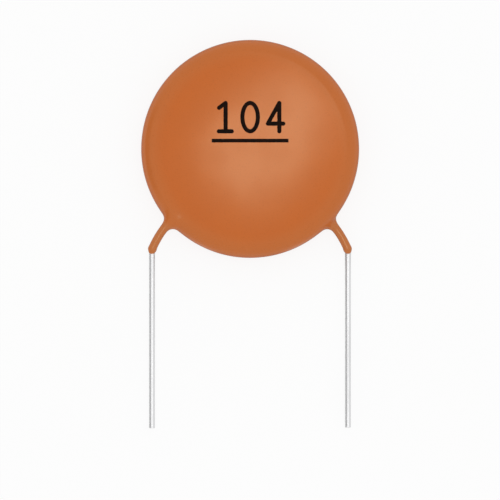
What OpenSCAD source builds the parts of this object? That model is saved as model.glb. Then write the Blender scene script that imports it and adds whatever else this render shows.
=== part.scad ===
// Ceramic disc capacitor with two straight radial leads, lying on its rear face.
// Millimetres. Z runs along the disc axis, X along the lead pitch and the leads point to -Y.
// The origin is on the disc axis, in the plane of the rear face.

/* [Coating] */
// Diameter of the coated disc
body_d = 16.7; // [14:0.1:20]
// Diameter of the flat in the middle of each face
land_d = 6; // [4:0.1:11]
// Radius of the rounded rim
rim_r = 1.1; // [0.8:0.05:1.3]
// Resin outside the edge of the ceramic disc
rim_resin = 1.05; // [0.5:0.05:1.5]
// Resin over the solder joints, which sets how thick the body is
joint_resin = 0.43; // [0.3:0.01:1]
// Resin skin on the wires where they leave the body
tail_skin = 0.085; // [0.05:0.005:0.15]
// How much the drop at the end of each tail swells past the tail, in radius
drop_swell = 0.02; // [0.02:0.01:0.1]
// Height of the ends of the tails over the lowest point of the rim
tail_rise = 0.3; // [0:0.05:0.8]
// Radius of the fillet on the outer side of each tail
outer_fillet_r = 0.47; // [0.35:0.01:0.7]
// Radius of the fillet in the notch between each tail and the rim
inner_fillet_r = 0.62; // [0.4:0.01:0.8]

/* [Leads] */
// Distance between the two leads
pitch = 15; // [13.5:0.5:17]
// Diameter of the wire
wire_d = 0.45; // [0.4:0.05:0.7]
// Free length of each lead, below the coating
lead_len = 13.3; // [5:0.1:35]
// Angle between the inner leg and the free lead
splay_angle = 38; // [30:1:45]
// Part of that angle that is pressed in as a tight kink at the end of the tail
kink_angle = 25; // [15:1:28]
// Inside radius of the kink in the wire
kink_inside_r = 0.275; // [0.2:0.005:0.6]
// Straight wire between the kink and the bow
kink_run = 0.2; // [0.1:0.05:0.5]
// Radius of the gentle bow between the kink and the inner leg
bow_r = 7.5; // [4:0.1:10]
// Length of wire that lies over the electrode
seat_len = 5; // [4.6:0.1:6]

/* [Element] */
// Thickness of the ceramic disc
ceramic_t = 0.6; // [0.3:0.05:1.3]
// Bevel on the edges of the ceramic disc
ceramic_bevel = 0.1; // [0.05:0.01:0.12]
// Bare ceramic round the edge of each electrode
electrode_margin = 0.5; // [0.2:0.05:1]
// Thickness of the fired silver
electrode_t = 0.02; // [0.01:0.005:0.05]
// Solder under the wire
solder_film = 0.03; // [0.02:0.005:0.1]
// Solder over the wire at the middle of the joint
solder_cover = 0.27; // [0.1:0.01:0.4]
// Length of each solder joint
solder_len = 4.2; // [3:0.1:4.4]
// Distance from the edge of the electrode to the joint
solder_setback = 0.4; // [0.2:0.05:0.6]

/* [Hidden] */
$fn = 64;
// Facets of the large circle that the shoulders are cut from
shoulder_facets = 360;

RESIN = [0.77, 0.41, 0.2];
CERAMIC = [0.72, 0.62, 0.48];
SILVER = [0.82, 0.82, 0.8];
SOLDER = [0.6, 0.61, 0.63];
TINNED = [0.86, 0.87, 0.88];

wire_r = wire_d / 2;
tail_r = wire_r + tail_skin;
drop_r = tail_r + drop_swell;
kink_r = kink_inside_r + wire_r;

// Section of the body: flat, shoulder arc and rim arc, each tangent to the next
solder_h = solder_film + wire_d + solder_cover;
body_t = ceramic_t + 2 * (electrode_t + solder_h + joint_resin);
body_r = body_d / 2;
half_t = body_t / 2;
rim_x = body_r - rim_r;
land_r = land_d / 2;
shoulder_r = (pow(rim_x - land_r, 2) + half_t * half_t - rim_r * rim_r) / (2 * (half_t - rim_r));
shoulder_end_x = rim_x + rim_r * (rim_x - land_r) / (shoulder_r - rim_r);

// Element, and the heights of its stack over the resting plane
ceramic_r = body_r - rim_resin;
electrode_r = ceramic_r - electrode_margin;
ceramic_rear_z = half_t - ceramic_t / 2;
ceramic_front_z = ceramic_rear_z + ceramic_t;
// Height of a wire's axis over the silver that it is soldered to
wire_lift = solder_film + wire_r;

// Left lead in plan: up from the tip, through the kink and the bow to the straight inner leg
tip_y = tail_rise - body_r - lead_len;
kink_y = tail_rise - body_r + drop_r;
bow_start_x = kink_r * (1 - cos(kink_angle)) + kink_run * sin(kink_angle) - pitch / 2;
bow_start_y = kink_y + kink_r * sin(kink_angle) + kink_run * cos(kink_angle);
bow_end_x = bow_start_x + bow_r * (cos(kink_angle) - cos(splay_angle));
bow_end_y = bow_start_y + bow_r * (sin(splay_angle) - sin(kink_angle));
// The disc axis seen from the leg: how far to its right, and how far ahead of the leg's start
leg_offset = bow_end_y * sin(splay_angle) - bow_end_x * cos(splay_angle);
leg_reach = -bow_end_x * sin(splay_angle) - bow_end_y * cos(splay_angle);
seat_start = leg_reach - sqrt(electrode_r * electrode_r - leg_offset * leg_offset);
leg_len = seat_start + seat_len;

// How much the solder bead is drawn in between its round ends, in radius
bead_waist = 0.01;

// Fillet webs between the tails and the rim
web_inset = 0.05;
web_r = tail_r - web_inset;
web_bite = 0.04;
web_root = 1;
web_lean = 25;

// How far a bend's ends reach into the straight runs, and how much thinner its bar is, in radius
bend_lap = 0.02;
bend_thinning = 0.005;
// Each bend: the straight run before it, the radius of the turn to the right and its angle
TAIL_BENDS = [[0, kink_r, kink_angle], [kink_run, bow_r, splay_angle - kink_angle]];
WIRE_BENDS = [[kink_y - tip_y, kink_r, kink_angle], [kink_run, bow_r, splay_angle - kink_angle]];

// Part of a ring of round bar, about Z, from one angle to another
module ring_arc(ring_r, bar_r, from, to) {
    rotate([0, 0, from]) rotate_extrude(angle = to - from) translate([ring_r, 0]) circle(r = bar_r);
}

// Round bar that starts at the origin along +Y, follows the bends and ends in a straight run.
// The bar is drawn a little thinner in a bend, whose ends are buried in the straight runs.
module bent_bar(bar_r, bends, last_run, step = 0) {
    run = step < len(bends) ? bends[step][0] : last_run;
    before = step > 0 ? bend_lap : 0;
    after = step < len(bends) ? bend_lap : 0;
    if (run > 0) translate([0, -before, 0]) rotate([-90, 0, 0]) cylinder(h = before + run + after, r = bar_r);
    if (step < len(bends)) {
        turn_r = bends[step][1];
        turn = bends[step][2];
        translate([turn_r, run, 0]) {
            ring_arc(turn_r, bar_r - bend_thinning, 180 - turn, 180);
            rotate([0, 0, -turn]) translate([-turn_r, 0, 0]) bent_bar(bar_r, bends, last_run, step + 1);
        }
    }
}

// Children stand in the frame of the left inner leg: +Y inward along it, the disc axis to the right
module on_leg() {
    translate([bow_end_x, bow_end_y, 0]) rotate([0, 0, -splay_angle]) translate([0, leg_reach, 0]) children();
}

// Children drawn on a face of the ceramic, with the left lead's layout, stand on the front face
module at_front() {
    translate([0, 0, ceramic_front_z]) children();
}

// The same, turned over about the Y axis, for the rear face and the right lead
module at_rear() {
    translate([0, 0, ceramic_rear_z]) rotate([0, 180, 0]) children();
}

module wire() {
    translate([-pitch / 2, tip_y, electrode_t + wire_lift]) bent_bar(wire_r, WIRE_BENDS, leg_len);
}

// Half-round bead along the leg, drawn from the face of the ceramic
module bead() {
    bead_r = electrode_t + solder_h;
    middle = seat_start + solder_setback + solder_len / 2 - leg_reach;
    end_y = solder_len / 2 - bead_r;
    on_leg() translate([0, middle, 0]) rotate([90, 0, 0]) rotate_extrude(angle = 180) intersection() {
        union() {
            for (side = [-1, 1]) translate([0, side * end_y]) circle(r = bead_r);
            translate([0, -end_y]) square([bead_r - bead_waist, 2 * end_y]);
        }
        translate([0, -solder_len / 2]) square([bead_r, solder_len]);
    }
}

// Solder on the silver and round the wire
module solder_joint() {
    difference() {
        bead();
        electrode();
        wire();
    }
}

// Web with a round concave edge on one side of a tail, -1 outside and 1 in the notch.
// It leans about the tail's axis, from the height of the wire towards the widest part of the rim.
module web(side, fillet_r) {
    x = side * (tail_r + fillet_r - web_bite);
    from_axis = x * cos(web_lean) - leg_offset;
    y = -sqrt(pow(body_r + fillet_r - web_bite, 2) - from_axis * from_axis);
    edge_r = fillet_r + web_r;
    to_rim = atan2(-y, -from_axis * cos(web_lean));
    to_tail = side > 0 ? 180 : 0;
    root = fillet_r + web_root;
    rotate([0, side * web_lean, 0]) translate([x, y, 0]) {
        ring_arc(edge_r, web_r, min(to_rim, to_tail), max(to_rim, to_tail));
        linear_extrude(height = 2 * (web_r - web_inset), center = true) difference() {
            polygon([[0, 0], [-x, 0], [-x, root * sin(to_rim)], root * [cos(to_rim), sin(to_rim)]]);
            circle(r = edge_r);
        }
    }
}

// Resin tail round one wire, with its webs and the drop at its end
module tail() {
    translate([0, 0, electrode_t + wire_lift]) {
        translate([-pitch / 2, kink_y, 0]) {
            bent_bar(tail_r, TAIL_BENDS, leg_reach - rim_x);
            sphere(r = drop_r);
        }
        on_leg() {
            web(-1, outer_fillet_r);
            web(1, inner_fillet_r);
        }
    }
}

// Upper half of the body's section
module half_section() {
    square([land_r, half_t]);
    translate([land_r, 0]) intersection() {
        square([shoulder_end_x - land_r, body_t]);
        translate([0, half_t - shoulder_r]) circle(r = shoulder_r, $fn = shoulder_facets);
    }
    intersection() {
        translate([shoulder_end_x, 0]) square([body_r, rim_r]);
        translate([rim_x, 0]) circle(r = rim_r);
    }
}

// Room for the element in the resin. The electrodes go with the ceramic between them, and each
// bead with the silver and the wire in it, so no two of these shapes only touch.
module cavity() {
    ceramic_disc();
    translate([0, 0, half_t]) cylinder(h = ceramic_t + 2 * electrode_t, r = electrode_r, center = true);
    at_front() bead();
    at_rear() bead();
    left_lead();
    right_lead();
}

module coating() {
    color(RESIN) difference() {
        union() {
            translate([0, 0, half_t]) rotate_extrude() {
                half_section();
                mirror([0, 1]) half_section();
            }
            at_front() tail();
            at_rear() tail();
        }
        cavity();
    }
}

module ceramic_disc() {
    bevel = ceramic_bevel;
    color(CERAMIC) translate([0, 0, ceramic_rear_z]) rotate_extrude()
        polygon([[0, 0], [ceramic_r - bevel, 0], [ceramic_r, bevel], [ceramic_r, ceramic_t - bevel],
                 [ceramic_r - bevel, ceramic_t], [0, ceramic_t]]);
}

module electrode() {
    cylinder(h = electrode_t, r = electrode_r);
}

module front_electrode() {
    color(SILVER) at_front() electrode();
}

module rear_electrode() {
    color(SILVER) at_rear() electrode();
}

module front_solder() {
    color(SOLDER) at_front() solder_joint();
}

module rear_solder() {
    color(SOLDER) at_rear() solder_joint();
}

module left_lead() {
    color(TINNED) at_front() wire();
}

module right_lead() {
    color(TINNED) at_rear() wire();
}

coating();
ceramic_disc();
front_electrode();
rear_electrode();
front_solder();
rear_solder();
left_lead();
right_lead();
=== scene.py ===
"""Looks of a ceramic disc capacitor: resin skin, tinned wires, printed value code and stage."""

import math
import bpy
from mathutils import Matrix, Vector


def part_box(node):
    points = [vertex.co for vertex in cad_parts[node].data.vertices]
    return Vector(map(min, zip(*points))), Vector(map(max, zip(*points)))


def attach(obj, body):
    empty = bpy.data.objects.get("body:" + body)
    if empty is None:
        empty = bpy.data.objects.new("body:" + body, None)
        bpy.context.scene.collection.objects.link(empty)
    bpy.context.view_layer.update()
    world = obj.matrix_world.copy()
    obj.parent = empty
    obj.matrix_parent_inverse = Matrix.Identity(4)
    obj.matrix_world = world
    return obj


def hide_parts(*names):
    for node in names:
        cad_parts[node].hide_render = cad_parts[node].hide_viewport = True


bl_info = {
    "name": "Ceramic Disc Capacitor",
    "version": (1, 0, 0),
    "blender": (4, 5, 0),
    "location": "3D View > Sidebar > Capacitor",
    "description": "Dresses the solid model of a dipped ceramic disc capacitor and sets its stage",
    "category": "Add Mesh",
}

import bpy
from mathutils import Matrix, Vector

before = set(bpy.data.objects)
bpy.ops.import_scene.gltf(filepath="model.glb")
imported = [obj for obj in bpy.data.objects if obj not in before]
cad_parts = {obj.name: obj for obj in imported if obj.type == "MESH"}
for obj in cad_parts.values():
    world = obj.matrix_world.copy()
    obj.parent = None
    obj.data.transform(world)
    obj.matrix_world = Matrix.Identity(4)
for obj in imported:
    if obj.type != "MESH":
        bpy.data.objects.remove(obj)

MM = 0.001

COAT_LOW, COAT_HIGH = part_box("coating")
LEAD_LOW, LEAD_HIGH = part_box("left_lead")
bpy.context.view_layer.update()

# The left lead lies on the front of the ceramic. The right one is the same, turned half a turn
# about the Y axis through the middle of the body.
BODY_T = COAT_HIGH.z
WIRE_R = (LEAD_HIGH.z - LEAD_LOW.z) / 2
WIRE_Z = LEAD_LOW.z + WIRE_R
WIRE_X = LEAD_LOW.x + WIRE_R


# ---------------------------------------------------------------- sizes and colours


def length(name, description, default):
    """A size in metres, with its default given in millimetres."""
    return bpy.props.FloatProperty(
        name=name, description=description, default=default * MM, unit="LENGTH", precision=6
    )


def angle(name, description, default):
    """An angle in radians, with its default given in degrees."""
    return bpy.props.FloatProperty(
        name=name, description=description, default=math.radians(default), unit="ROTATION"
    )


def colour(name, description, default):
    """A linear colour."""
    return bpy.props.FloatVectorProperty(
        name=name, description=description, default=default, subtype="COLOR", size=3, min=0, max=1
    )


def share(name, description, default, top=1.0):
    """A plain number from nought to top."""
    return bpy.props.FloatProperty(
        name=name, description=description, default=default, min=0, max=top
    )


class CapacitorCoat(bpy.types.PropertyGroup):
    """Sizes of the dipped resin coat."""

    land_r: length("Land radius", "Radius of the flat in the middle of each face", 1.5)
    rim_r: length("Rim radius", "Radius of the rounded rim", 1.1)
    tail_r: length("Tail radius", "Radius of the resin tail round each wire", 0.32)
    drop_r: length("Drop radius", "Radius of the drop at the end of each tail", 0.3)
    drop_aside: length("Drop aside", "How far each drop lies inward of its wire's axis", 0.04)
    tail_rise: length("Tail rise", "Height of the drops' lowest points over that of the rim", 0.39)
    outer_fillet: length("Outer fillet", "Fillet on the outer side of each tail", 0.62)
    inner_fillet: length("Inner fillet", "Fillet in the notch between each tail and the rim", 0.85)
    meniscus: length("Meniscus", "Length of the resin that creeps down each wire", 0.09)
    waviness: length("Waviness", "Depth of the slow waves in the dipped surface", 0.016)
    voxel: length("Voxel", "Grid spacing at which the skin is formed", 0.09)


class CapacitorLeads(bpy.types.PropertyGroup):
    """Sizes of the two wires."""

    kink_rise: length("Kink rise", "Height of the kink's start over the drops' lowest points", 0.15)
    kink_r: length("Kink radius", "Radius of the tight kink, to the wire's axis", 0.5)
    kink_angle: angle("Kink angle", "Turn of the tight kink", 25)
    kink_run: length("Kink run", "Straight wire between the kink and the bow", 0.2)
    bow_r: length("Bow radius", "Radius of the gentle bow, to the wire's axis", 7.5)
    splay_angle: angle("Splay angle", "Angle between the leg and the free lead", 38)
    sides: bpy.props.IntProperty(
        name="Sides", description="Facets round the wire", default=32, min=8
    )
    tip_bevel: length("Tip bevel", "Bevel that the cutter leaves on each tip", 0.03)


class CapacitorCode(bpy.types.PropertyGroup):
    """Sizes of the printed value code."""

    digit_h: length("Digit height", "Height of a digit over its strokes' edges", 2.48)
    digit_w: length("Digit width", "Width of a digit over its strokes' edges", 1.5)
    pitch: length("Pitch", "Distance from one digit to the next", 1.94)
    stroke: length("Stroke", "Width of a stroke", 0.32)
    base_y: length("Base", "Height of the digits' feet over the disc axis", 1.15)
    line_low: length("Line low", "Lower edge of the underline over the disc axis", 0.46)
    line_high: length("Line high", "Upper edge of the underline over the disc axis", 0.737)
    line_w: length("Line width", "Length of the underline", 5.85)
    film: length("Film", "Thickness of the ink", 0.012)
    bleed: length("Bleed", "How much the ink's edge wanders", 0.022)
    cell: length("Cell", "Grid spacing at which the ink is formed", 0.03)


class CapacitorFinish(bpy.types.PropertyGroup):
    """Colours and gloss of the finishes."""

    resin: colour("Resin", "Dipped resin", (0.565, 0.126, 0.0185))
    resin_deep: colour("Deep resin", "Resin where it lies thicker", (0.54, 0.118, 0.0168))
    # Paler resin for the rim and the tails: a thin coat with painted sheen mixed into its colour
    thin_resin_and_sheen: colour("Thin resin", "Resin that only skins a wire", (0.52, 0.16, 0.046))
    resin_roughness: share("Resin roughness", "Roughness of the dipped resin", 0.215)
    ink: colour("Ink", "Marking ink", (0.006, 0.0032, 0.002))
    tin: colour("Tin", "Tinned wire", (0.73, 0.73, 0.735))
    core: colour("Core", "Copper in the cut tip", (0.66, 0.39, 0.27))
    ceramic: colour("Ceramic", "Fired titanate ceramic", (0.47, 0.34, 0.2))
    silver: colour("Silver", "Fired silver electrode", (0.64, 0.64, 0.6))
    solder: colour("Solder", "Frozen solder", (0.4, 0.41, 0.43))


class CapacitorStage(bpy.types.PropertyGroup):
    """The camera, the light and the floor."""

    view_w: length("View width", "Width of the view in the plane of the disc", 38.28)
    view_x: length("View X", "Middle of the view along X", -0.01)
    view_y: length("View Y", "Middle of the view along Y", -7.737)
    lens: bpy.props.FloatProperty(name="Lens", description="Focal length, millimetres", default=300)
    ambient: share("Ambient", "Even light from all round", 0.8, top=4)
    box_x: length("Softbox X", "Place of the softbox along X", 28)
    box_y: length("Softbox Y", "Place of the softbox along Y", 28)
    box_z: length("Softbox height", "Height of the softbox over the floor", 400)
    box_w: length("Softbox width", "Short side of the softbox", 94)
    box_l: length("Softbox length", "Long side of the softbox", 158)
    box_turn: angle("Softbox turn", "Direction of its long side", 45)
    box_light: share("Softbox light", "Brightness of the softbox, where 1 is white", 3.8, top=20)
    rim_shade: share("Rim shade", "How much dimmer the rim mirrors the floor beside it", 0.6)
    side_shade: share("Side shade", "How much dimmer the wires mirror the studio's left side", 0.86)
    floor_light: share("Floor light", "How much the floor shines on the part by itself", 0.5)
    floor_glow: share("Floor glow", "How much the floor shines by itself where it is seen", 0.85)


# ---------------------------------------------------------------- node trees


NUMBER = "NodeSocketFloat"
VECTOR = "NodeSocketVector"
GEOMETRY = "NodeSocketGeometry"


class Number:
    """A number in a node tree: arithmetic on it adds the tree's maths nodes."""

    def __init__(self, graph, socket):
        self.graph = graph
        self.socket = socket

    def __add__(self, other):
        return self.graph.math("ADD", self, other)

    def __radd__(self, other):
        return self.graph.math("ADD", other, self)

    def __sub__(self, other):
        return self.graph.math("SUBTRACT", self, other)

    def __rsub__(self, other):
        return self.graph.math("SUBTRACT", other, self)

    def __mul__(self, other):
        return self.graph.math("MULTIPLY", self, other)

    def __rmul__(self, other):
        return self.graph.math("MULTIPLY", other, self)

    def __truediv__(self, other):
        return self.graph.math("DIVIDE", self, other)

    def __rtruediv__(self, other):
        return self.graph.math("DIVIDE", other, self)

    def __neg__(self):
        return self.graph.math("MULTIPLY", self, -1.0)

    def __abs__(self):
        return self.graph.math("ABSOLUTE", self)


class Graph:
    """A node tree under construction, to which each call adds a linked node."""

    def __init__(self, tree):
        self.tree = tree

    def feed(self, socket, value):
        """Links or sets one input."""
        if isinstance(value, Number):
            value = value.socket
        if isinstance(value, bpy.types.NodeSocket):
            self.tree.links.new(value, socket)
        else:
            socket.default_value = value

    def add(self, kind, inputs=None, **settings):
        """Adds a node, sets its properties and feeds its inputs, which are named or numbered."""
        node = self.tree.nodes.new(kind)
        for key, value in settings.items():
            setattr(node, key, value)
        for key, value in (inputs or {}).items():
            self.feed(node.inputs[key], value)
        return node

    def first(self, kind, inputs=None, **settings):
        """Adds a node and gives its first output."""
        return self.add(kind, inputs, **settings).outputs[0]

    def math(self, operation, *values):
        """One maths node."""
        inputs = dict(enumerate(values))
        return Number(self, self.first("ShaderNodeMath", inputs, operation=operation))

    def most(self, one, other):
        """The greater of two numbers."""
        return self.math("MAXIMUM", one, other)

    def least(self, one, other):
        """The lesser of two numbers."""
        return self.math("MINIMUM", one, other)

    def far(self, *values):
        """Length of a vector with up to three parts."""
        node = self.add("ShaderNodeVectorMath", {0: self.combine(*values)}, operation="LENGTH")
        return Number(self, node.outputs["Value"])

    def combine(self, x=0.0, y=0.0, z=0.0):
        """A vector from its parts."""
        return self.first("ShaderNodeCombineXYZ", {0: x, 1: y, 2: z})

    def split(self, vector):
        """The three parts of a vector."""
        parts = self.add("ShaderNodeSeparateXYZ", {0: vector}).outputs
        return [Number(self, part) for part in parts]

    def step(self, value, low, high, to_low=0.0, to_high=1.0):
        """Smooth step of value from low to high, put out between to_low and to_high."""
        inputs = {
            "Value": value, "From Min": low, "From Max": high, "To Min": to_low, "To Max": to_high,
        }
        node = self.add("ShaderNodeMapRange", inputs, interpolation_type="SMOOTHSTEP")
        return Number(self, node.outputs["Result"])

    def noise(self, where, size, detail=2.0):
        """Smooth noise around a half, with features of about the given size."""
        inputs = {"Vector": where, "Scale": 1.0 / size, "Detail": detail}
        return Number(self, self.first("ShaderNodeTexNoise", inputs))

    def mix(self, factor, low, high):
        """Blend of two colours. The node's colour sockets come after its number and vector ones."""
        return self.add("ShaderNodeMix", {0: factor, 6: low, 7: high}, data_type="RGBA").outputs[2]


def open_tree(name, kind, inputs, outputs):
    """A new node tree with named inputs and outputs: its graph, and its inputs by name."""
    tree = bpy.data.node_groups.new(name, kind)
    for in_out, ends in {"INPUT": inputs, "OUTPUT": outputs}.items():
        for key, socket_type in ends.items():
            tree.interface.new_socket(key, in_out=in_out, socket_type=socket_type)
    graph = Graph(tree)
    sockets = graph.add("NodeGroupInput").outputs
    given = {
        key: Number(graph, sockets[key]) if socket_type == NUMBER else sockets[key]
        for key, socket_type in inputs.items()
    }
    return graph, given


def geometry_tree(name, sizes):
    """A geometry tree that takes the piece's mesh, the named sizes and a material."""
    inputs = {"Geometry": GEOMETRY, **sizes, "Material": "NodeSocketMaterial"}
    return open_tree(name, "GeometryNodeTree", inputs, {"Geometry": GEOMETRY})


def close_tree(graph, mesh, material):
    """Ends a geometry tree with a real mesh in one material."""
    mesh = graph.first("GeometryNodeRealizeInstances", {"Geometry": mesh})
    mesh = graph.first("GeometryNodeSetMaterial", {"Geometry": mesh, "Material": material})
    graph.add("NodeGroupOutput", {"Geometry": mesh})
    return graph.tree


def shape_group(name, sizes):
    """A group that gives the signed distance from a position to a shape round some edges."""
    inputs = {"Position": VECTOR, "Edges": GEOMETRY, **sizes}
    return open_tree(name, "GeometryNodeTree", inputs, {"Distance": NUMBER})


def distance_to(graph, shape, given, place):
    """Signed distance from a place to a shape round the edges of the piece's own mesh."""
    inputs = {"Position": place, "Edges": given["Geometry"]}
    node = graph.add("GeometryNodeGroup", inputs, node_tree=shape)
    for socket in node.inputs[len(inputs):]:
        graph.feed(socket, given[socket.name])
    return Number(graph, node.outputs["Distance"])


def near_edges(graph, edges, place):
    """Distance from a place to the nearest edge."""
    inputs = {"Geometry": edges, "Sample Position": place}
    node = graph.add("GeometryNodeProximity", inputs, target_element="EDGES")
    return Number(graph, node.outputs["Distance"])


def grow(piece, tree, values):
    """Runs a geometry tree on a piece with the given inputs and keeps the result as its mesh."""
    modifier = piece.modifiers.new(tree.name, "NODES")
    modifier.node_group = tree
    for item in tree.interface.items_tree:
        if item.in_out == "INPUT" and item.name in values:
            modifier[item.identifier] = values[item.name]
    bpy.context.view_layer.update()
    evaluated = piece.evaluated_get(bpy.context.evaluated_depsgraph_get())
    mesh = bpy.data.meshes.new_from_object(evaluated)
    piece.modifiers.remove(modifier)
    old = piece.data
    piece.data = mesh
    bpy.data.meshes.remove(old)
    mesh.name = piece.name


def path_piece(name, paths):
    """A new object whose mesh is one chain of edges for each path."""
    points = []
    edges = []
    for path in paths:
        first = len(points)
        points += [tuple(point) for point in path]
        edges += [(i, i + 1) for i in range(first, len(points) - 1)]
    mesh = bpy.data.meshes.new(name)
    mesh.from_pydata(points, edges, [])
    piece = bpy.data.objects.new(name, mesh)
    bpy.context.scene.collection.objects.link(piece)
    return piece


# ---------------------------------------------------------------- the run of a lead


# Spacing of the points on the curves of a wire's axis
AXIS_STEP = 0.02 * MM


def walk(x, y, moves):
    """Points in plan of a path that sets off along +Y. A move is a length and its right turn."""
    heading = 0.0
    points = [(x, y)]
    for run, turn in moves:
        count = max(1, math.ceil(run / AXIS_STEP)) if turn else 1
        for _ in range(count):
            heading += turn / count / 2
            x += run / count * math.sin(heading)
            y += run / count * math.cos(heading)
            heading += turn / count / 2
            points.append((x, y))
    return points


def lead_axis(coat, leads, start_y, leg_end_y):
    """The left lead's axis in plan, from start_y through the kink and the bow to the leg's end."""
    kink_y = COAT_LOW.y + coat.tail_rise + leads.kink_rise
    bow_angle = leads.splay_angle - leads.kink_angle
    moves = [
        (kink_y - start_y, 0.0),
        (leads.kink_r * leads.kink_angle, leads.kink_angle),
        (leads.kink_run, 0.0),
        (leads.bow_r * bow_angle, bow_angle),
    ]
    points = walk(WIRE_X, start_y, moves)
    x, y = points[-1]
    leg = (leg_end_y - y) / math.cos(leads.splay_angle)
    points.append((x + leg * math.sin(leads.splay_angle), y + leg * math.cos(leads.splay_angle)))
    return points


# ---------------------------------------------------------------- materials


def new_material(name):
    """A node material and the graph of its nodes, with the Principled shader already there."""
    material = bpy.data.materials.new(name)
    material.use_nodes = True
    graph = Graph(material.node_tree)
    shader = material.node_tree.nodes["Principled BSDF"]
    return material, graph, shader


# What the speckle group puts out, and its sizes in millimetres where a material gives none
SPECKLES = ("Mottle", "Grain", "Pits")
SPECKLE_SIZES = {"Mottle Size": 2.0, "Grain Size": 0.1, "Pit Spacing": 0.9, "Pit Radius": 0.02}


def speckle_group():
    """Slow mottling, fine grain and rare pits over a surface."""
    graph, given = open_tree(
        "Mottle grain and pits", "ShaderNodeTree",
        {"Vector": VECTOR, **dict.fromkeys(SPECKLE_SIZES, NUMBER)},
        dict.fromkeys(SPECKLES, NUMBER),
    )
    for item in graph.tree.interface.items_tree:
        if item.name in SPECKLE_SIZES:
            item.default_value = SPECKLE_SIZES[item.name] * MM
    where, spacing = given["Vector"], given["Pit Spacing"]
    mottle = graph.noise(where, given["Mottle Size"], detail=3.0)
    cells = graph.add("ShaderNodeTexVoronoi", {"Vector": where, "Scale": 1.0 / spacing})
    from_pit = Number(graph, cells.outputs["Distance"]) * spacing
    graph.add("NodeGroupOutput", {
        "Mottle": graph.step(mottle, low=0.35, high=0.65),
        "Grain": graph.noise(where, given["Grain Size"]),
        "Pits": 1.0 - graph.step(from_pit, low=0.0, high=given["Pit Radius"]),
    })
    return graph.tree


def speckled(graph, group, **sizes):
    """Places the speckle group in a material, on Object coordinates, with sizes in millimetres."""
    where = graph.add("ShaderNodeTexCoord").outputs["Object"]
    inputs = {key.replace("_", " ").title(): size * MM for key, size in sizes.items()}
    node = graph.add("ShaderNodeGroup", {"Vector": where, **inputs}, node_tree=group)
    return {key: Number(graph, node.outputs[key]) for key in SPECKLES}, where


def raised(graph, shader, height, strength, distance):
    """Feeds a height over the surface to the shader's normal."""
    inputs = {"Height": height, "Strength": strength, "Distance": distance}
    graph.feed(shader.inputs["Normal"], graph.first("ShaderNodeBump", inputs))


def rgba(colour_value, factor=1.0):
    """A colour with its alpha, made darker or brighter by a factor."""
    return (*(part * factor for part in colour_value), 1.0)


def resin_material(finish, group):
    """Dipped phenolic resin: even orange brown and softly glossy, with slight orange peel."""
    material, graph, shader = new_material("Dipped resin")
    marks, where = speckled(
        graph, group, mottle_size=2.6, grain_size=0.11, pit_spacing=0.75, pit_radius=0.026
    )
    tone = graph.mix(marks["Mottle"] * 0.6, rgba(finish.resin), rgba(finish.resin_deep))
    # Paler, duller resin towards the rim and on the tails: partly a thinner coat, partly painted
    # sheen standing in for the rim's reflection and the tails' broad highlight
    x, y, _ = graph.split(where)
    out, rim = graph.far(x, y), COAT_HIGH.x
    thin = graph.step(out, low=rim - 1.9 * MM, high=rim - 0.5 * MM, to_high=0.45)
    thin = thin + graph.step(out, low=rim - 0.1 * MM, high=rim + 0.5 * MM, to_high=0.55)
    # This mix paints the sheen into the base colour
    tone = graph.mix(thin, tone, rgba(finish.thin_resin_and_sheen))
    # Flecks lie where the grain is lowest
    flecks = graph.step(marks["Grain"], low=0.42, high=0.34, to_high=0.2)
    tone = graph.mix(flecks, tone, rgba(finish.resin_deep, 0.72))
    tone = graph.mix(marks["Pits"] * 0.6, tone, rgba(finish.resin_deep, 0.4))
    graph.feed(shader.inputs["Base Color"], tone)
    rough = finish.resin_roughness + (marks["Mottle"] - 0.5) * 0.04 + (marks["Grain"] - 0.5) * 0.08
    graph.feed(shader.inputs["Roughness"], rough)
    shader.inputs["IOR"].default_value = 1.4
    shader.inputs["Specular Tint"].default_value = (1.0, 0.95, 0.64, 1.0)
    height = marks["Grain"] * 0.35 - marks["Pits"]
    raised(graph, shader, height, strength=0.5, distance=0.006 * MM)
    return material


def ink_material(finish, group):
    """Flat near-black stamping ink, thin enough to be a little uneven."""
    material, graph, shader = new_material("Marking ink")
    marks, _ = speckled(
        graph, group, mottle_size=0.5, grain_size=0.05, pit_spacing=0.35, pit_radius=0.012
    )
    # Where it is worn, a tenth of the resin shows through
    worn = [0.9 * dark + 0.1 * under for dark, under in zip(finish.ink, finish.resin_deep)]
    wear = marks["Mottle"] * 0.12 + marks["Pits"] * 0.3
    graph.feed(shader.inputs["Base Color"], graph.mix(wear, rgba(finish.ink), rgba(worn)))
    graph.feed(shader.inputs["Roughness"], 0.72 + marks["Grain"] * 0.2)
    shader.inputs["Specular IOR Level"].default_value = 0.07
    raised(graph, shader, marks["Grain"] - marks["Pits"], strength=0.3, distance=0.004 * MM)
    return material


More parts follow.
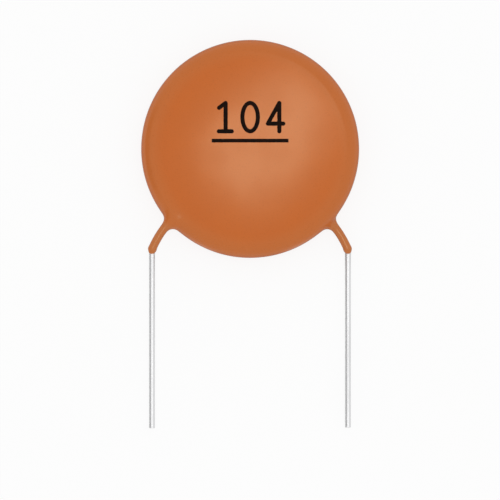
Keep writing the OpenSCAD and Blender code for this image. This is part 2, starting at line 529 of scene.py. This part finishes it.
def wire_material(finish):
    """Drawn and tinned wire: bright, finely lined, with the copper core bare at the cut tip."""
    material, graph, shader = new_material("Tinned wire")
    where = graph.add("ShaderNodeTexCoord").outputs["Object"]
    across, along, height = graph.split(where)

    def drawn_out(size, squeeze):
        return graph.noise(graph.combine(across, along * squeeze, height), size)

    lines = drawn_out(size=0.03 * MM, squeeze=0.005)
    blotch = graph.step(drawn_out(size=0.7 * MM, squeeze=0.15), low=0.4, high=0.7)
    tone = graph.mix(blotch * 0.3 + lines * 0.2, rgba(finish.tin), rgba(finish.tin, 0.88))
    # The core shows on the flat of the tip
    off_middle = abs(height - BODY_T / 2) - (WIRE_Z - BODY_T / 2)
    off_axis = graph.far(abs(across) + WIRE_X, off_middle)
    low, high = LEAD_LOW.y + 0.004 * MM, LEAD_LOW.y + 0.008 * MM
    bare = graph.step(along, low, high, to_low=1.0, to_high=0.0)
    bare = bare * graph.step(off_axis, 0.8 * WIRE_R, 0.86 * WIRE_R, to_low=1.0, to_high=0.0)
    graph.feed(shader.inputs["Base Color"], graph.mix(bare, tone, rgba(finish.core)))
    shader.inputs["Metallic"].default_value = 1.0
    graph.feed(shader.inputs["Roughness"], 0.43 + blotch * 0.05 + lines * 0.06)
    raised(graph, shader, lines, strength=0.25, distance=0.002 * MM)
    return material


def ceramic_material(finish, group):
    """Fired titanate ceramic: matt tan with a fine open grain."""
    material, graph, shader = new_material("Fired ceramic")
    marks, _ = speckled(
        graph, group, mottle_size=1.5, grain_size=0.04, pit_spacing=0.3, pit_radius=0.02
    )
    darker = marks["Mottle"] * 0.4 + marks["Pits"] * 0.6
    tone = graph.mix(darker, rgba(finish.ceramic), rgba(finish.ceramic, 0.8))
    graph.feed(shader.inputs["Base Color"], tone)
    graph.feed(shader.inputs["Roughness"], 0.75 + marks["Grain"] * 0.2)
    raised(graph, shader, marks["Grain"] - marks["Pits"], strength=0.5, distance=0.006 * MM)
    return material


def silver_material(finish, group):
    """Screen-printed and fired silver: pale, matt metal with the mesh's faint grain."""
    material, graph, shader = new_material("Fired silver")
    marks, _ = speckled(
        graph, group, mottle_size=1.0, grain_size=0.05, pit_spacing=0.4, pit_radius=0.015
    )
    tarnish = rgba([part * left for part, left in zip(finish.silver, (0.85, 0.8, 0.68))])
    tone = graph.mix(marks["Mottle"] * 0.5, rgba(finish.silver), tarnish)
    graph.feed(shader.inputs["Base Color"], tone)
    shader.inputs["Metallic"].default_value = 1.0
    graph.feed(shader.inputs["Roughness"], 0.5 + marks["Grain"] * 0.25)
    raised(graph, shader, marks["Grain"] - marks["Pits"], strength=0.4, distance=0.004 * MM)
    return material


def solder_material(finish, group):
    """Frozen solder: grey metal, dull where it froze last."""
    material, graph, shader = new_material("Frozen solder")
    marks, _ = speckled(
        graph, group, mottle_size=0.5, grain_size=0.08, pit_spacing=0.5, pit_radius=0.02
    )
    tone = graph.mix(marks["Mottle"], rgba(finish.solder), rgba(finish.solder, 1.3))
    graph.feed(shader.inputs["Base Color"], tone)
    shader.inputs["Metallic"].default_value = 1.0
    graph.feed(shader.inputs["Roughness"], 0.3 + marks["Mottle"] * 0.2)
    height = marks["Grain"] * 0.5 + marks["Mottle"]
    raised(graph, shader, height, strength=0.4, distance=0.01 * MM)
    return material


# ---------------------------------------------------------------- the dipped skin


# Room round the skin in its grid, and how often its vertices are pulled onto the true surface
SKIN_MARGIN = 0.25 * MM
PULL_STEPS = 3
# The thin run of resin from each drop down its wire: how thick it starts and how much it loses,
# how early it does so at the wire's sides, and how much later for each step in front or behind
RUN_FILM = 0.04 * MM
RUN_LOSS = 0.16 * MM
RUN_EARLY = 0.05 * MM
RUN_LATER = 0.6
# How softly the drop joins its tail, and the run joins the drop
DROP_BLEND = 0.12 * MM
RUN_BLEND = 0.1 * MM
# Half the width of the band in which the outer fillet turns into the inner one
HALF_TURN = 0.3 * MM
# How far inside the rim the fillet starts to shrink and where it stops, and the share then left
FADE_START = 0.4 * MM
FADE_END = 1.7 * MM
FADE_LEFT = 0.3
# Width, in fillets, of the softer of the two joins that are averaged
EASE = 1.9
# Length of the slow waves
WAVE_LENGTH = 3.5 * MM

SKIN_SIZES = {
    **dict.fromkeys((
        "Body Radius", "Thickness", "Land Radius", "Rim Radius", "Tail Radius", "Drop Radius",
        "Drop Aside", "Splay", "Outer Fillet", "Inner Fillet", "Wire Radius", "Meniscus",
        "Waviness",
    ), NUMBER),
    "Drop Centre": VECTOR,
}


def body_distance(graph, given, x, y, z):
    """Signed distance to the disc, whose flat land, shoulder arc and rim arc are tangent."""
    half_t = given["Thickness"] / 2
    land_r, rim_r = given["Land Radius"], given["Rim Radius"]
    rim_x = given["Body Radius"] - rim_r
    flank = rim_x - land_r
    shoulder_r = (flank * flank + half_t * half_t - rim_r * rim_r) / ((half_t - rim_r) * 2)
    from_axis = graph.far(x, y)
    height = abs(z - half_t)
    out = graph.most(from_axis - land_r, 0.0)
    up = height - half_t + shoulder_r
    on_shoulder = graph.far(out, up) - shoulder_r
    on_rim = graph.far(from_axis - rim_x, height) - rim_r
    past_shoulder = graph.math("GREATER_THAN", out * (shoulder_r - half_t), up * flank)
    return on_shoulder + past_shoulder * (on_rim - on_shoulder)


def tail_distance(graph, given, x, y, z):
    """Signed distance to the left tail, its drop and the resin that creeps down the wire."""
    tail = near_edges(graph, given["Edges"], graph.combine(x, y, z)) - given["Tail Radius"]
    drop_r, run = given["Drop Radius"], given["Meniscus"]
    drop_x, drop_y, drop_z = graph.split(given["Drop Centre"])
    drop = graph.far(x - drop_x, y - drop_y, z - drop_z) - drop_r
    # The resin creeps further along the wire's front and back than along its sides
    below = drop_y - drop_r - y + RUN_EARLY - abs(z - drop_z) * RUN_LATER
    past_ends = graph.most(below - run, 0.0) + graph.most(-below - drop_r, 0.0)
    film_r = given["Wire Radius"] + RUN_FILM - RUN_LOSS * graph.step(below, -0.5 * run, run)
    film = graph.far(x - drop_x + given["Drop Aside"], z - drop_z, past_ends) - film_r
    tail = graph.math("SMOOTH_MIN", tail, drop, DROP_BLEND)
    return graph.math("SMOOTH_MIN", tail, film, RUN_BLEND)


def skin_shape_group():
    """Signed distance to the whole dipped skin, round the axis of the left tail."""
    graph, given = shape_group("Dipped shape", SKIN_SIZES)
    x, y, z = graph.split(given["Position"])
    body = body_distance(graph, given, x, y, z)
    # Half a turn about the body's Y axis brings the right tail onto the left one
    to_right = graph.math("GREATER_THAN", x, 0.0)
    fold_x = -abs(x)
    fold_z = z + to_right * (given["Thickness"] - z * 2.0)
    tail = tail_distance(graph, given, fold_x, y, fold_z)
    # Inner side of the tail: towards the bottom of the disc
    drop_x, drop_y, _ = graph.split(given["Drop Centre"])
    lean_x, lean_y = graph.math("COSINE", given["Splay"]), graph.math("SINE", given["Splay"])
    inward = (fold_x - drop_x) * lean_x - (y - drop_y) * lean_y
    outer, inner = given["Outer Fillet"], given["Inner Fillet"]
    fillet = graph.step(inward, -HALF_TURN, HALF_TURN, to_low=outer, to_high=inner)
    # It shrinks over the disc, so that nothing of the tail shows on the face
    out, rim = graph.far(x, y), given["Body Radius"]
    fillet = fillet * graph.step(out, rim - FADE_END, rim - FADE_START, to_low=FADE_LEFT)
    near_both = graph.far(graph.most(fillet - body, 0.0), graph.most(fillet - tail, 0.0))
    rounded = graph.most(fillet, graph.least(body, tail)) - near_both
    eased = graph.math("SMOOTH_MIN", body, tail, fillet * EASE)
    waves = graph.noise(given["Position"], WAVE_LENGTH, detail=1.0) - 0.5
    distance = (rounded + eased) * 0.5 + given["Waviness"] * waves
    graph.add("NodeGroupOutput", {"Distance": distance})
    return graph.tree


def skin_tree():
    """Forms the skin from its signed distance on a grid and pulls it onto the true surface."""
    shape = skin_shape_group()
    graph, given = geometry_tree("Dipped skin", {**SKIN_SIZES, "Voxel": NUMBER})

    def distance():
        return distance_to(graph, shape, given, graph.first("GeometryNodeInputPosition"))

    voxel = given["Voxel"]
    reach = given["Body Radius"] + SKIN_MARGIN
    top = given["Thickness"] + SKIN_MARGIN
    across = graph.math("CEIL", reach * 2.0 / voxel)
    volume = graph.first("GeometryNodeVolumeCube", {
        "Density": -distance(),
        "Background": -1.0,
        "Min": graph.combine(-reach, -reach, -SKIN_MARGIN),
        "Max": graph.combine(reach, reach, top),
        "Resolution X": across,
        "Resolution Y": across,
        "Resolution Z": graph.math("CEIL", (top + SKIN_MARGIN) / voxel),
    })
    mesh = graph.first("GeometryNodeVolumeToMesh", {"Volume": volume, "Threshold": 0.0})
    for _ in range(PULL_STEPS):
        outward = {0: graph.first("GeometryNodeInputNormal"), "Scale": -distance()}
        pull = graph.first("ShaderNodeVectorMath", outward, operation="SCALE")
        mesh = graph.first("GeometryNodeSetPosition", {"Geometry": mesh, "Offset": pull})
    # Nothing lies lower than the plane it rests on
    x, y, z = graph.split(graph.first("GeometryNodeInputPosition"))
    flat = graph.combine(x, y, graph.most(z, 0.0))
    mesh = graph.first("GeometryNodeSetPosition", {"Geometry": mesh, "Position": flat})
    mesh = graph.first("GeometryNodeSetShadeSmooth", {"Geometry": mesh})
    return close_tree(graph, mesh, given["Material"])


# ---------------------------------------------------------------- the wires


# The least angle between two facets at which their edge stays sharp
SHARP_EDGE = math.radians(35)


def wire_tree():
    """Round wire along the piece's own edges, with a bevelled tip at each end."""
    sizes = {"Radius": NUMBER, "Sides": "NodeSocketInt", "Tip Bevel": NUMBER}
    graph, given = geometry_tree("Drawn wire", sizes)
    curve = graph.first("GeometryNodeMeshToCurve", {"Mesh": given["Geometry"]})
    circle = {"Resolution": given["Sides"], "Radius": given["Radius"]}
    ring = graph.first("GeometryNodeCurvePrimitiveCircle", circle)
    # The radius falls from full to that less the bevel over the last stretch at each end
    run = Number(graph, graph.add("GeometryNodeSplineParameter").outputs["Length"])
    whole = Number(graph, graph.add("GeometryNodeSplineLength").outputs["Length"])
    from_end = graph.least(run, whole - run)
    lost = graph.most(given["Tip Bevel"] - from_end, 0.0) / given["Radius"]
    body = graph.first("GeometryNodeCurveToMesh", {
        "Curve": curve, "Profile Curve": ring, "Scale": 1.0 - lost, "Fill Caps": True,
    })
    body = graph.first("GeometryNodeSetShadeSmooth", {"Geometry": body})
    return close_tree(graph, body, given["Material"])


# ---------------------------------------------------------------- the value code


def oval(x, y, half_w, half_h, count=40):
    """A closed ring of points."""
    turns = [2 * math.pi * i / count for i in range(count + 1)]
    return [(x + half_w * math.sin(turn), y + half_h * math.cos(turn)) for turn in turns]


def digits_104(w, h):
    """Centre lines of the digits of a plain value code, each w wide round X 0 and h high."""
    one = [[(-0.36 * w, 0.83 * h), (0.06 * w, h), (0.06 * w, 0)], [(-0.38 * w, 0), (0.46 * w, 0)]]
    nought = [oval(0, h / 2, w / 2, h / 2)]
    four = [[(0.24 * w, 0), (0.24 * w, h), (-0.5 * w, 0.27 * h), (0.5 * w, 0.27 * h)]]
    return [one, nought, four]


def code_strokes(code):
    """Centre lines of all the digits, standing side by side on the base."""
    w = code.digit_w - code.stroke
    h = code.digit_h - code.stroke
    base = code.base_y + code.stroke / 2
    paths = []
    for place, strokes in enumerate(digits_104(w, h)):
        middle = (place - 1) * code.pitch
        for stroke in strokes:
            paths.append([(middle + x, base + y, 0) for x, y in stroke])
    return paths


# How long the wanderings of the ink's edge are
BLEED_LENGTH = 0.12 * MM
# How far aside the slope of the ink's shape is taken, and what keeps its square from nought
NUDGE = 0.004 * MM
LEAST_STEEP = 0.01
# How often the edge of the ink's sheet is pulled onto the ink's outline
TRIM_STEPS = 2
# Height from which the sheet comes down onto the skin, and how near two points are one
DRAPE_FROM = 10.0 * MM
SAME_POINT = 0.001 * MM

INK_SIZES = {"Stroke": NUMBER, "Line Low": VECTOR, "Line High": VECTOR, "Bleed": NUMBER}


def ink_shape_group():
    """Signed distance in plan to the ink: round-ended strokes and a square-ended underline."""
    graph, given = shape_group("Ink shape", INK_SIZES)
    x, y, _ = graph.split(given["Position"])
    stroke = near_edges(graph, given["Edges"], graph.combine(x, y)) - given["Stroke"] * 0.5
    low_x, low_y, _ = graph.split(given["Line Low"])
    high_x, high_y, _ = graph.split(given["Line High"])
    past_x = graph.most(low_x - x, x - high_x)
    past_y = graph.most(low_y - y, y - high_y)
    outside = graph.far(graph.most(past_x, 0.0), graph.most(past_y, 0.0))
    line = outside + graph.least(graph.most(past_x, past_y), 0.0)
    bleed = (graph.noise(given["Position"], BLEED_LENGTH) - 0.5) * given["Bleed"]
    graph.add("NodeGroupOutput", {"Distance": graph.least(stroke, line) + bleed})
    return graph.tree


def code_tree():
    """Ink film on the skin: the cells of a grid within the ink, trimmed to it and draped."""
    shape = ink_shape_group()
    sizes = {**INK_SIZES, **dict.fromkeys(("Top", "Film", "Cell", "Over"), NUMBER)}
    graph, given = geometry_tree("Printed code", {"Skin": "NodeSocketObject", **sizes})
    here = graph.first("GeometryNodeInputPosition")
    x, y, _ = graph.split(here)

    def distance(aside_x=0.0, aside_y=0.0):
        aside = {0: here, 1: (aside_x, aside_y, 0.0)}
        place = graph.first("ShaderNodeVectorMath", aside, operation="ADD")
        return distance_to(graph, shape, given, place)

    # A sheet over the underline and the digits above it
    cell, top, over, film = given["Cell"], given["Top"], given["Over"], given["Film"]
    low_x, low_y, _ = graph.split(given["Line Low"])
    high_x, _, _ = graph.split(given["Line High"])
    wide = high_x - low_x + over * 2.0
    tall = top - low_y + over * 2.0
    sheet = graph.first("GeometryNodeMeshGrid", {
        "Size X": wide,
        "Size Y": tall,
        "Vertices X": graph.math("CEIL", wide / cell),
        "Vertices Y": graph.math("CEIL", tall / cell),
    })
    middle = graph.combine((low_x + high_x) * 0.5, (low_y + top) * 0.5)
    sheet = graph.first("GeometryNodeTransform", {"Geometry": sheet, "Translation": middle})
    cut = {"Geometry": sheet, "Selection": graph.math("GREATER_THAN", distance(), 0.0)}
    sheet = graph.first("GeometryNodeDeleteGeometry", cut, domain="FACE")

    # Its ragged edge is pulled onto the ink's outline
    slope_x = (distance(aside_x=NUDGE) - distance(aside_x=-NUDGE)) / (2 * NUDGE)
    slope_y = (distance(aside_y=NUDGE) - distance(aside_y=-NUDGE)) / (2 * NUDGE)
    pull = -distance() / (slope_x * slope_x + slope_y * slope_y + LEAST_STEEP)
    offset = graph.combine(slope_x * pull, slope_y * pull)
    one_face = {2: graph.first("GeometryNodeInputMeshEdgeNeighbors"), 3: 1}
    edge = graph.first("FunctionNodeCompare", one_face, data_type="INT", operation="EQUAL")
    for _ in range(TRIM_STEPS):
        trim = {"Geometry": sheet, "Selection": edge, "Offset": offset}
        sheet = graph.first("GeometryNodeSetPosition", trim)

    # It is draped over the skin, half its thickness deep, and then given its thickness
    target = {"Object": given["Skin"]}
    skin = graph.add("GeometryNodeObjectInfo", target, transform_space="ORIGINAL")
    ray = graph.add("GeometryNodeRaycast", {
        "Target Geometry": skin.outputs["Geometry"],
        "Source Position": graph.combine(x, y, DRAPE_FROM),
        "Ray Direction": (0.0, 0.0, -1.0),
        "Ray Length": 2 * DRAPE_FROM,
    })
    _, _, hit_z = graph.split(ray.outputs["Hit Position"])
    draped = graph.combine(x, y, hit_z - film * 0.5)
    sheet = graph.first("GeometryNodeSetPosition", {"Geometry": sheet, "Position": draped})
    upper = graph.first("GeometryNodeExtrudeMesh", {
        "Mesh": sheet, "Offset": graph.combine(0.0, 0.0, film * 1.5), "Individual": False,
    })
    under = graph.first("GeometryNodeFlipFaces", {"Mesh": sheet})
    both = graph.add("GeometryNodeJoinGeometry")
    graph.feed(both.inputs[0], upper)
    graph.feed(both.inputs[0], under)
    seam = {"Geometry": both.outputs[0], "Distance": SAME_POINT}
    closed = graph.first("GeometryNodeMergeByDistance", seam)
    return close_tree(graph, closed, given["Material"])


# ---------------------------------------------------------------- the stage


WHITE = (1, 1, 1, 1)
# Power in watts for each square metre of an area lamp that shines as bright as white
LAMP_POWER = 4.0


def stage_floor(stage):
    """White floor that keeps a soft shadow and can be seen through from below."""
    floor_r = 3.0
    depth = -0.01 * MM
    # Longer at the back, so that the diagonal between its two triangles misses the disc
    back = floor_r * 1.2
    corners = [(-floor_r, -floor_r, depth), (floor_r, -floor_r, depth),
               (floor_r, back, depth), (-floor_r, back, depth)]
    mesh = bpy.data.meshes.new("floor")
    mesh.from_pydata(corners, [], [(0, 1, 2, 3)])
    floor = bpy.data.objects.new("floor", mesh)
    bpy.context.scene.collection.objects.link(floor)
    material, graph, shader = new_material("White floor")
    shader.inputs["Base Color"].default_value = (0.93, 0.93, 0.93, 1)
    shader.inputs["Roughness"].default_value = 0.9
    shader.inputs["Specular IOR Level"].default_value = 0.0
    path = graph.add("ShaderNodeLightPath").outputs
    camera, mirrored = path["Is Camera Ray"], Number(graph, path["Is Glossy Ray"])
    seen = graph.most(graph.most(mirrored, camera), path["Is Transmission Ray"])
    # Close to the rim, but not by the wires, mirrored rays find the floor dimmer
    x, y, _ = graph.split(graph.add("ShaderNodeTexCoord").outputs["Object"])
    rim = COAT_HIGH.x
    by_disc = graph.step(graph.far(x, y), low=rim + 6.0 * MM, high=rim + 3.0 * MM)
    by_wire = graph.step(abs(x), low=2.5 * MM, high=4.5 * MM)
    by_wire = by_wire * graph.step(y, low=-8.0 * MM, high=-9.2 * MM)
    strength = 1.0 - mirrored * by_disc * (1.0 - by_wire) * stage.rim_shade
    glow = graph.first("ShaderNodeEmission", {"Color": WHITE, "Strength": strength})
    shine = stage.floor_light + seen * (stage.floor_glow - stage.floor_light)
    lit = graph.first("ShaderNodeMixShader", {0: shine, 1: shader.outputs[0], 2: glow})
    clear = graph.first("ShaderNodeBsdfTransparent")
    behind = Number(graph, graph.add("ShaderNodeNewGeometry").outputs["Backfacing"])
    both = graph.first("ShaderNodeMixShader", {0: behind * camera, 1: lit, 2: clear})
    graph.feed(material.node_tree.nodes["Material Output"].inputs["Surface"], both)
    mesh.materials.append(material)


def stage_world(stage):
    """Even studio light, white where it is seen, with a dark side low on the left for the wires."""
    world = bpy.data.worlds.new("studio")
    bpy.context.scene.world = world
    world.use_nodes = True
    graph = Graph(world.node_tree)
    right, along, up = graph.split(graph.add("ShaderNodeTexCoord").outputs["Generated"])
    dark = graph.step(right, low=-0.4, high=-0.8) * graph.step(up, low=0.85, high=0.45)
    dark = dark * graph.step(abs(along), low=0.5, high=0.25)
    path = graph.add("ShaderNodeLightPath").outputs
    mirrored = graph.most(path["Is Glossy Ray"], path["Is Transmission Ray"])
    strength = stage.ambient + mirrored * (1.0 - stage.ambient - dark * stage.side_shade)
    background = world.node_tree.nodes["Background"]
    background.inputs["Color"].default_value = WHITE
    graph.feed(background.inputs["Strength"], graph.most(strength, path["Is Camera Ray"]))


def stage_softbox(stage):
    """A long soft box over the face, which the camera doesn't see. Its power follows its size."""
    data = bpy.data.lights.new("softbox", "AREA")
    data.shape = "RECTANGLE"
    data.size, data.size_y = stage.box_w, stage.box_l
    data.energy = LAMP_POWER * stage.box_light * stage.box_w * stage.box_l
    away = Vector((stage.box_x, stage.box_y, stage.box_z))
    back = away.normalized()
    along = Vector((math.cos(stage.box_turn), math.sin(stage.box_turn), 0.0))
    across = along.cross(back).normalized()
    along = back.cross(across)
    lamp = bpy.data.objects.new("softbox", data)
    bpy.context.scene.collection.objects.link(lamp)
    turn = Matrix((across, along, back)).transposed().to_4x4()
    lamp.matrix_world = Matrix.Translation(away) @ turn
    lamp.visible_camera = False


def stage_camera(stage):
    """A long lens straight over the part, which lies on its rear face."""
    data = bpy.data.cameras.new("camera")
    data.lens = stage.lens
    distance = stage.view_w * stage.lens / data.sensor_width
    camera = bpy.data.objects.new("camera", data)
    bpy.context.scene.collection.objects.link(camera)
    camera.location = (stage.view_x, stage.view_y, BODY_T / 2 + distance)
    data.clip_start = 0.001
    data.clip_end = 20.0
    bpy.context.scene.camera = camera


# ---------------------------------------------------------------- operators


class CapacitorStep:
    """What the operators share."""

    bl_options = {"REGISTER", "UNDO"}


class CAPACITOR_OT_skin(CapacitorStep, bpy.types.Operator):
    """Form the dipped resin skin round the disc and the bent ends of the wires"""

    bl_idname = "capacitor.skin"
    bl_label = "Dipped Skin"

    def execute(self, context):
        coat = context.scene.capacitor_coat
        leads = context.scene.capacitor_leads
        drop_x = WIRE_X + coat.drop_aside
        drop_y = COAT_LOW.y + coat.tail_rise + coat.drop_r
        wire = lead_axis(coat, leads, LEAD_LOW.y, COAT_LOW.y / 2)
        axis = [(drop_x, drop_y)] + [point for point in wire if point[1] > drop_y]
        axis = [Vector((x, y, WIRE_Z)) for x, y in axis]
        # From a quarter of its leg on the tail's core sinks to mid-height, so that it raises no
        # ridge on the face
        axis.insert(-1, axis[-2].lerp(axis[-1], 0.25))
        axis[-1].z = BODY_T / 2 - WIRE_R
        skin = path_piece("coating_skin", [axis])
        grow(skin, skin_tree(), {
            "Body Radius": COAT_HIGH.x,
            "Thickness": BODY_T,
            "Land Radius": coat.land_r,
            "Rim Radius": coat.rim_r,
            "Tail Radius": coat.tail_r,
            "Drop Radius": coat.drop_r,
            "Drop Centre": (drop_x, drop_y, WIRE_Z),
            "Drop Aside": coat.drop_aside,
            "Splay": leads.splay_angle,
            "Outer Fillet": coat.outer_fillet,
            "Inner Fillet": coat.inner_fillet,
            "Wire Radius": WIRE_R,
            "Meniscus": coat.meniscus,
            "Waviness": coat.waviness,
            "Voxel": coat.voxel,
            "Material": bpy.data.materials["Dipped resin"],
        })
        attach(skin, "root")
        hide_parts("coating")
        return {"FINISHED"}


class CAPACITOR_OT_wires(CapacitorStep, bpy.types.Operator):
    """Draw the two tinned wires from their cut tips to their seats in the solder"""

    bl_idname = "capacitor.wires"
    bl_label = "Tinned Wires"

    def execute(self, context):
        coat = context.scene.capacitor_coat
        leads = context.scene.capacitor_leads
        tree = wire_tree()
        bevel = leads.tip_bevel
        leg_end_y = LEAD_HIGH.y - WIRE_R * math.sin(leads.splay_angle)
        tip, *middle, end = lead_axis(coat, leads, LEAD_LOW.y, leg_end_y)
        # One more point at each end, where the bevel starts
        last = Vector(end) - Vector(middle[-1])
        near_end = Vector(end) - last.normalized() * bevel
        axis = [tip, (tip[0], tip[1] + bevel), *middle, tuple(near_end), end]
        for side, sign in {"left": 1, "right": -1}.items():
            height = BODY_T / 2 + sign * (WIRE_Z - BODY_T / 2)
            wire = path_piece(side + "_wire", [[(sign * x, y, height) for x, y in axis]])
            grow(wire, tree, {
                "Radius": WIRE_R,
                "Sides": leads.sides,
                "Tip Bevel": bevel,
                "Material": bpy.data.materials["Tinned wire"],
            })
            wire.data.set_sharp_from_angle(angle=SHARP_EDGE)
            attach(wire, "root")
            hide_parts(side + "_lead")
        return {"FINISHED"}


class CAPACITOR_OT_code(CapacitorStep, bpy.types.Operator):
    """Print the underlined value code on the front face"""

    bl_idname = "capacitor.code"
    bl_label = "Value Code"

    def execute(self, context):
        code = context.scene.capacitor_code
        ink = path_piece("value_code", code_strokes(code))
        half_line = code.line_w / 2
        grow(ink, code_tree(), {
            "Skin": bpy.data.objects["coating_skin"],
            "Stroke": code.stroke,
            "Line Low": (-half_line, code.line_low, 0),
            "Line High": (half_line, code.line_high, 0),
            "Bleed": code.bleed,
            "Top": code.base_y + code.digit_h,
            "Film": code.film,
            "Cell": code.cell,
            "Over": 4 * code.cell,
            "Material": bpy.data.materials["Marking ink"],
        })
        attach(ink, "root")
        return {"FINISHED"}


class CAPACITOR_OT_finish(CapacitorStep, bpy.types.Operator):
    """Make the materials and give the pieces inside the resin theirs"""

    bl_idname = "capacitor.finish"
    bl_label = "Finishes"

    def execute(self, context):
        finish = context.scene.capacitor_finish
        speckle = speckle_group()
        resin_material(finish, speckle)
        ink_material(finish, speckle)
        wire_material(finish)
        inner = {
            ceramic_material(finish, speckle): ["ceramic_disc"],
            silver_material(finish, speckle): ["front_electrode", "rear_electrode"],
            solder_material(finish, speckle): ["front_solder", "rear_solder"],
        }
        for material, names in inner.items():
            for name in names:
                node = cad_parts[name]
                for slot in node.material_slots:
                    slot.material = material
        return {"FINISHED"}


class CAPACITOR_OT_stage(CapacitorStep, bpy.types.Operator):
    """Set the floor, the studio light and the camera over the part"""

    bl_idname = "capacitor.stage"
    bl_label = "Stage"

    def execute(self, context):
        stage = context.scene.capacitor_stage
        context.scene.view_settings.view_transform = "Standard"
        stage_floor(stage)
        stage_world(stage)
        stage_camera(stage)
        stage_softbox(stage)
        return {"FINISHED"}


class VIEW3D_PT_capacitor(bpy.types.Panel):
    """Buttons for each piece, with its sizes below"""

    bl_label = "Ceramic Disc Capacitor"
    bl_space_type = "VIEW_3D"
    bl_region_type = "UI"
    bl_category = "Capacitor"

    def draw(self, context):
        for step in STEPS:
            self.layout.operator(step.bl_idname)
        for name, (key, group) in GROUPS.items():
            box = self.layout.box()
            box.label(text=name)
            values = getattr(context.scene, key)
            for size in group.__annotations__:
                box.prop(values, size)


GROUPS = {
    "Coat": ("capacitor_coat", CapacitorCoat),
    "Leads": ("capacitor_leads", CapacitorLeads),
    "Code": ("capacitor_code", CapacitorCode),
    "Finish": ("capacitor_finish", CapacitorFinish),
    "Stage": ("capacitor_stage", CapacitorStage),
}
STEPS = [
    CAPACITOR_OT_finish,
    CAPACITOR_OT_skin,
    CAPACITOR_OT_wires,
    CAPACITOR_OT_code,
    CAPACITOR_OT_stage,
]


def register():
    """Adds the sizes, the steps and the panel."""
    for key, group in GROUPS.values():
        bpy.utils.register_class(group)
        setattr(bpy.types.Scene, key, bpy.props.PointerProperty(type=group))
    for step in [*STEPS, VIEW3D_PT_capacitor]:
        bpy.utils.register_class(step)


def unregister():
    """Takes away what register adds."""
    for step in [VIEW3D_PT_capacitor, *reversed(STEPS)]:
        bpy.utils.unregister_class(step)
    for key, group in reversed(GROUPS.values()):
        delattr(bpy.types.Scene, key)
        bpy.utils.unregister_class(group)


def main():
    """Dresses the part."""
    register()
    bpy.ops.capacitor.finish()
    bpy.ops.capacitor.skin()
    bpy.ops.capacitor.wires()
    bpy.ops.capacitor.code()
    bpy.ops.capacitor.stage()


if __name__ == "__main__":
    main()
